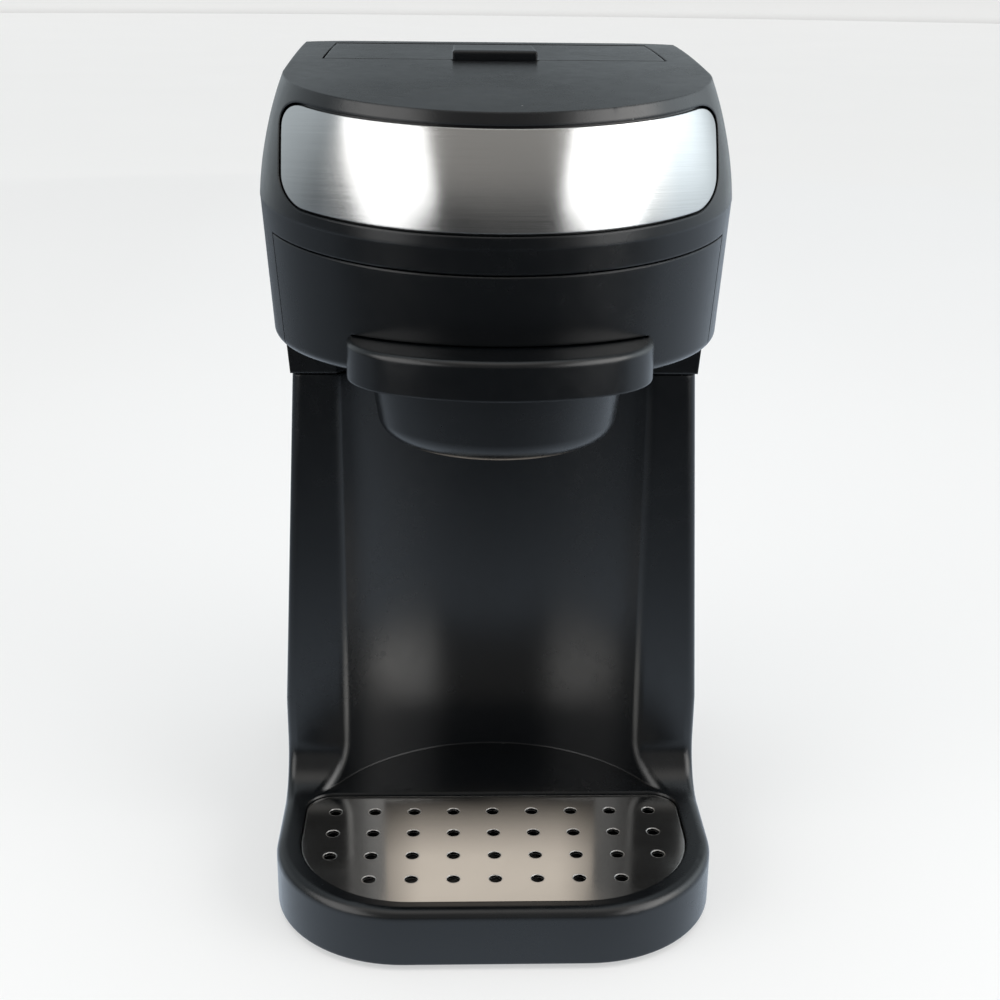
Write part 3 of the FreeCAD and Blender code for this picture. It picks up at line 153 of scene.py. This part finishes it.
def moulded(name, colour, gloss, grain=0.1, grain_size=0.0003, dust=0.05, edge=0.0008, **more):
    """Moulded plastic: eroded grain, uneven gloss, dust, and rounded edges, smoother from rubbing and
    lighter in colour, partly wear and partly a painted highlight.
    """
    made = finish(name, colour, gloss, **more)
    where = place(made)
    flow = cloud(made, where, 0.045, 3.0)
    haze = cloud(made, where, 0.004)
    rounded, edge_nearness = edges(made, edge)
    uneven = sums(made, "ADD", spread(made, flow, 0.3, 0.7, gloss - 0.035, gloss + 0.035),
                  spread(made, haze, 0.3, 0.7, -0.02, 0.02))
    smoother = sums(made, "MULTIPLY_ADD", edge_nearness, -0.08, uneven)
    body = between(made, flow, tuple(0.84 * c for c in colour), tuple(1.16 * c for c in colour))
    # Edges are lighter in colour: partly rubbing wear, partly a painted highlight along the rounded
    # edges.
    wear_and_edge_highlight = between(made, sums(made, "MULTIPLY", edge_nearness, 0.35), body,
                   tuple(1.7 * c + 0.006 for c in colour))
    dusty = sums(made, "MULTIPLY", specks(made, where, 0.0045, 0.00035, dust), 0.3)
    skin = cloud(made, where, grain_size, 4.0, 0.6)
    bump = step(made, "Bump", {"Height": skin, "Normal": rounded, "Strength": grain, "Distance": 0.0002})
    feed(made, Base_Color=between(made, dusty, wear_and_edge_highlight, (0.5, 0.5, 0.48)), Roughness=smoother,
         Normal=bump.outputs["Normal"])
    return made


satin_black = moulded("satin_black", (0.0020, 0.0027, 0.0035), 0.25)
dress(satin_black, "base_shell")


# Drip plate. A pressed sheet of polished stainless steel with four rows of punched holes, lifted
# out by hand to rinse. The rolling lines of the sheet run from side to side.
def rolled(name, colour, gloss, line, length, tilt=0.0, depth=0.05, edge=0.0004, **more):
    """Sheet metal with fine lines along it, light scratches and bright edges."""
    made = finish(name, colour, gloss, Metallic=1.0, **more)
    where = place(made)
    along = step(made, "Mapping", {"Vector": where, "Rotation": (tilt, 0, 0),
                                   "Scale": (length, length, line)}, vector_type="TEXTURE").outputs[0]
    lines = step(made, "TexNoise", {"Vector": along, "Scale": 1.0, "Detail": 4.0,
                                    "Roughness": 0.62}).outputs["Fac"]
    smear = cloud(made, where, 0.03, 3.0)
    rounded, edge_nearness = edges(made, edge)
    uneven = sums(made, "ADD", spread(made, lines, 0.3, 0.7, gloss - 0.03, gloss + 0.03),
                  spread(made, smear, 0.3, 0.7, -0.03, 0.03))
    tone = between(made, spread(made, lines, 0.3, 0.7), tuple(0.94 * c for c in colour),
                   tuple(min(1.0, 1.05 * c) for c in colour))
    bump = step(made, "Bump", {"Height": lines, "Normal": rounded, "Strength": depth,
                               "Distance": 0.00005})
    feed(made, Base_Color=tone, Roughness=sums(made, "MULTIPLY_ADD", edge_nearness, -0.05, uneven),
         Normal=bump.outputs["Normal"])
    return made


plate_bright = finish("plate_bright", (0.64, 0.63, 0.61), 0.14, Metallic=1.0)
plate_where = place(plate_bright)
plate_along = step(plate_bright, "Mapping", {"Vector": plate_where, "Scale": (0.03, 0.00012, 1.0)},
                   vector_type="TEXTURE").outputs[0]
plate_lines = step(plate_bright, "TexNoise", {"Vector": plate_along, "Scale": 1.0,
                                              "Detail": 4.0}).outputs["Fac"]
plate_smear = cloud(plate_bright, plate_where, 0.02, 3.0)
plate_round, plate_rubbed = edges(plate_bright, 0.0005)
plate_gloss = sums(plate_bright, "ADD", spread(plate_bright, plate_lines, 0.3, 0.7, 0.09, 0.17),
                   spread(plate_bright, plate_smear, 0.35, 0.65, -0.02, 0.05))
plate_bump = step(plate_bright, "Bump", {"Height": plate_lines, "Normal": plate_round,
                                         "Strength": 0.04, "Distance": 0.00005})
feed(plate_bright, Normal=plate_bump.outputs["Normal"],
     Roughness=sums(plate_bright, "MULTIPLY_ADD", plate_rubbed, 0.4, plate_gloss),
     Base_Color=between(plate_bright, plate_lines, (0.60, 0.595, 0.58), (0.70, 0.69, 0.67)))
dress(plate_bright, "drip_plate")


# Underside. A flat black cover closes the base, held by four countersunk screws, with four round
# rubber feet pushed into it.
inner_black = moulded("inner_black", (0.020, 0.021, 0.022), 0.5, grain=0.14, dust=0.02)
dress(inner_black, "bottom_plate")
rubber = moulded("rubber", (0.022, 0.022, 0.022), 0.82, grain=0.3, grain_size=0.0004, dust=0.1)
dress(rubber, "rubber_feet", "cord_gland")
screw_zinc = rolled("screw_zinc", (0.55, 0.56, 0.57), 0.34, 0.0006, 0.0006, depth=0.12)
dress(screw_zinc, "base_screws", "rear_screws")


# Rear cover. A removable black ABS panel with cooling slots, let into the back of the column and
# held by four screws. It is moulded with the same fine satin grain as the base.
dress(satin_black, "rear_cover")


# Head. The housing is one black ABS moulding: sides, raked shoulder, arched top and the neck on
# the column. The front cover below the seam is a separate moulding, clipped in.
dress(satin_black, "head_housing", "front_cover")


# Trim. A thin stainless strip, brushed round its length and let into the front of the shoulder.
rake = math.radians(-5.14)
brushed = rolled("brushed_trim", (0.62, 0.62, 0.615), 0.22, 0.00012, 0.05, tilt=rake, depth=0.12,
                 Anisotropic=0.75)
upright = step(brushed, "CombineXYZ", {"Z": 1.0}).outputs[0]
feed(brushed, Tangent=upright)
dress(brushed, "stainless_band")


# Fill lid. A black ABS flap over the tank, moulded in one with its raised grip and its barrel, which
# turns on a steel pin at the back of the head.
dress(satin_black, "water_lid")
dress(screw_zinc, "lid_hinge_pin")


# Filter drawer. The basket and its bowed handle are one black moulding that slides out towards the
# user. In it lies a lift-out filter: a brown plastic frame with fine steel mesh moulded in.
dress(satin_black, "filter_basket")
filter_brown = moulded("filter_brown", (0.055, 0.030, 0.018), 0.38, dust=0.02)
dress(filter_brown, "filter_frame")
mesh_steel = finish("filter_weave", (0.5, 0.48, 0.42), 0.35, Metallic=1.0)
weave_where = place(mesh_steel)
wires = [step(mesh_steel, "TexWave", {"Vector": weave_where, "Scale": 900.0},
              bands_direction=way).outputs["Fac"] for way in ("X", "Z")]
weave = sums(mesh_steel, "MULTIPLY", *wires)
weave_bump = step(mesh_steel, "Bump", {"Height": weave, "Strength": 0.5, "Distance": 0.0001})
# The mesh colour goes from steel on the raised wires to near black in the low gaps between them: the
# dark gaps are painted shade.
feed(mesh_steel, Normal=weave_bump.outputs["Normal"],
     Base_Color=between(mesh_steel, weave, (0.08, 0.075, 0.065), (0.62, 0.6, 0.54)))
dress(mesh_steel, "filter_mesh")


# Brewing deck. Natural black polypropylene: the rails that carry the drawer, the deck that hot
# water falls on and the spray head that spreads it.
dress(inner_black, "basket_guide", "brew_deck", "spray_head")


# Cold side. A milky tank under the lid, its strainer and seal, the white check valve and the clear
# silicone hose that feeds the heater.
tank_milky = moulded("tank_milky", (0.42, 0.44, 0.44), 0.3, grain=0.05, dust=0.0, IOR=1.49)
dress(tank_milky, "water_tank")
valve_white = moulded("valve_white", (0.72, 0.71, 0.68), 0.32, grain=0.05, dust=0.0)
dress(valve_white, "check_valve")
silicone = moulded("silicone", (0.60, 0.60, 0.58), 0.35, grain=0.04, dust=0.02)
dress(silicone, "tank_seal", "cold_hose", "hot_riser")
dress(mesh_steel, "outlet_strainer")


# Heater. An aluminium block is cast round a steel water tube and a sheathed element, clamped on a
# bracket, with a thermostat and a fuse against it.
cast = moulded("cast_aluminium", (0.58, 0.585, 0.59), 0.42, grain=0.35, grain_size=0.0012, dust=0.0,
               Metallic=1.0)
dress(cast, "boiler_block")
sheath = rolled("element_sheath", (0.34, 0.31, 0.27), 0.4, 0.0006, 0.004)
dress(sheath, "water_tube", "heating_element", "boiler_bracket")
dress(inner_black, "thermostat", "thermal_fuse", "boiler_seats")


# Switch. A snap-in switch on the right of the column: a glossier black nylon body, and a rocker that
# tips to and fro on a pin inside it.
switch_black = moulded("switch_black", (0.012, 0.012, 0.013), 0.22, grain=0.05, dust=0.04, edge=0.0003)
dress(switch_black, "switch_body", "switch_rocker")


# Studio light. Two tall soft boxes stand left and right of the front and an even light hangs
# overhead. The room ahead is dim and the pale table only runs a little way out in front, so the
# black plastic stays black and the metal has something to show.
def lamp(name, kind, where, power, aim=(0, 0, 0.12), **settings):
    """A light that points at the machine."""
    light = bpy.data.lights.new(name, kind)
    light.energy = power
    for key, value in settings.items():
        setattr(light, key, value)
    made = bpy.data.objects.new(name, light)
    made.location = where
    made.rotation_euler = (Vector(aim) - made.location).to_track_quat("-Z", "Y").to_euler()
    bpy.context.scene.collection.objects.link(made)
    return made


def softbox(name, bearing, height, reach, width, tall, roll, power):
    """A soft box on a stand, its bearing in degrees to the right of the front, its head rolled."""
    angle = math.radians(bearing)
    box = lamp(name, "AREA", (reach * math.sin(angle), -reach * math.cos(angle), height), power,
               shape="RECTANGLE", size=width, size_y=tall)
    leant = Matrix.Rotation(math.radians(roll), 3, "Z")
    box.rotation_euler = (box.rotation_euler.to_matrix() @ leant).to_euler()
    return box


def only_in_reflections(piece):
    """A card that stands out of shot: it shows in gloss and nowhere else."""
    piece.visible_camera = False
    piece.visible_diffuse = False
    piece.visible_transmission = False
    piece.visible_shadow = False


softbox("left_soft_box", -57, 0.5, 1.0, 0.72, 1.15, 36, 5.2)
softbox("right_soft_box", 57, 0.5, 1.0, 0.72, 1.15, -36, 7.2)
overhead = lamp("overhead_light", "SUN", (0, 0.3, 3.0), 0.68, (0, 0, 0), angle=math.radians(50))
overhead.visible_glossy = False
sweep.visible_glossy = False

air = bpy.data.worlds.new("studio_air")
air.use_nodes = True
backdrop = air.node_tree.nodes["Background"]
toward = step(air, "SeparateXYZ", {"Vector": step(air, "TexCoord").outputs["Generated"]}).outputs
left_wall = sums(air, "MULTIPLY", spread(air, toward["X"], -0.5, -0.95, 0.0, 0.2),
                 spread(air, toward["Z"], -0.1, 0.35, 0.25, 3.0))
right_wall = sums(air, "MULTIPLY", spread(air, toward["X"], 0.64, 1.0, 0.0, 1.0),
                  spread(air, toward["Z"], -0.1, 0.35, 0.75, 3.0))
back_wall = sums(air, "MULTIPLY", spread(air, toward["Y"], 0.1, 1.0),
                 sums(air, "ADD", spread(air, sums(air, "ABSOLUTE", toward["X"]), 0.05, 0.4, 0.28, 0.72),
                      spread(air, toward["X"], 0.1, 0.5, 0.0, 0.16)))
walls = sums(air, "ADD", sums(air, "ADD", left_wall, right_wall), sums(air, "ADD", back_wall, 0.012))
front_share = sums(air, "MULTIPLY", spread(air, toward["Z"], 0.0, 0.12),
                   spread(air, toward["Y"], 0.1, -0.2))
front_wall = sums(air, "MULTIPLY", front_share, 0.32)
ceiling = spread(air, toward["Z"], 0.72, 0.92, 0.0, 0.9)
level = sums(air, "ADD", walls, sums(air, "ADD", front_wall, ceiling))
air_tone = between(air, front_share, (0.86, 0.95, 1.0), (1.0, 0.965, 0.92))
air.node_tree.links.new(air_tone, backdrop.inputs["Color"])
air.node_tree.links.new(level, backdrop.inputs["Strength"])
bpy.context.scene.world = air
bpy.context.scene.view_settings.view_transform = "Standard"

table_glow = finish("table_glow", (0, 0, 0), 1.0, Emission_Color=(0.76, 0.87, 1.0, 1))
table_side = step(table_glow, "SeparateXYZ", {"Vector": place(table_glow)}).outputs
table_edge = sums(table_glow, "MULTIPLY", spread(table_glow, table_side["X"], -0.3, -0.08, 0.3, 1.0),
                  spread(table_glow, table_side["X"], 0.3, 0.08, 0.7, 1.0))
table_near = sums(table_glow, "MULTIPLY", table_edge,
                  sums(table_glow, "POWER", spread(table_glow, table_side["Y"], -0.65, -0.09), 3.4))
feed(table_glow, Emission_Strength=sums(table_glow, "MULTIPLY_ADD", table_near, 1.0, 0.02))
table_height = 0.0001
table_mesh, table_rings = turned([(radius, table_height) for radius in (1.6, 0.6, 0.2)], 48)
table_mesh.faces.new(table_rings[-1])
only_in_reflections(shown("table_reflection", table_mesh, table_glow))

bounce_white = finish("bounce_card", (0, 0, 0), 1.0, Emission_Color=(1.0, 0.90, 0.79, 1))
bounce_half, bounce_low, bounce_top = 0.046, 0.032, 0.105
bounce_at = step(bounce_white, "SeparateXYZ", {"Vector": place(bounce_white)}).outputs
bounce_side = sums(bounce_white, "ABSOLUTE", bounce_at["X"])
bounce_soft = sums(bounce_white, "MULTIPLY",
                   spread(bounce_white, bounce_side, bounce_half, 0.5 * bounce_half),
                   sums(bounce_white, "MULTIPLY",
                        spread(bounce_white, bounce_at["Z"], bounce_low, bounce_low + 0.022),
                        spread(bounce_white, bounce_at["Z"], bounce_top, bounce_top - 0.03)))
front_side = sums(bounce_white, "SUBTRACT", 1.0,
                  step(bounce_white, "NewGeometry").outputs["Backfacing"])
bounce_glow = sums(bounce_white, "MULTIPLY", bounce_soft, 0.8)
feed(bounce_white, Alpha=front_side,
     Emission_Strength=sums(bounce_white, "MULTIPLY", bounce_glow, front_side))
bounce_mesh = bmesh.new()
bounce_y = 0.0
bounce_mesh.faces.new([bounce_mesh.verts.new(c) for c in (
    (-bounce_half, bounce_y, bounce_low), (bounce_half, bounce_y, bounce_low),
    (bounce_half, bounce_y, bounce_top), (-bounce_half, bounce_y, bounce_top))])
only_in_reflections(shown("bounce_card", bounce_mesh, bounce_white))


# Camera. It stands in front, a little above the head and left of the middle, and looks down at the
# machine with a slight lean.
camera = bpy.data.objects.new("camera", bpy.data.cameras.new("camera"))
camera.data.lens = 53.88
camera.data.sensor_width = 36.0
camera.data.clip_start = 0.01
look_down = 0.3442
look_right = -0.0324
lean = 0.0109
stand = (-0.01172, -0.43053, 0.26341)
camera.matrix_world = (Matrix.Translation(stand)
                       @ Matrix.Rotation(look_right, 4, "Z")
                       @ Matrix.Rotation(math.pi / 2 - look_down, 4, "X")
                       @ Matrix.Rotation(lean, 4, "Z"))
bpy.context.scene.collection.objects.link(camera)
bpy.context.scene.camera = camera
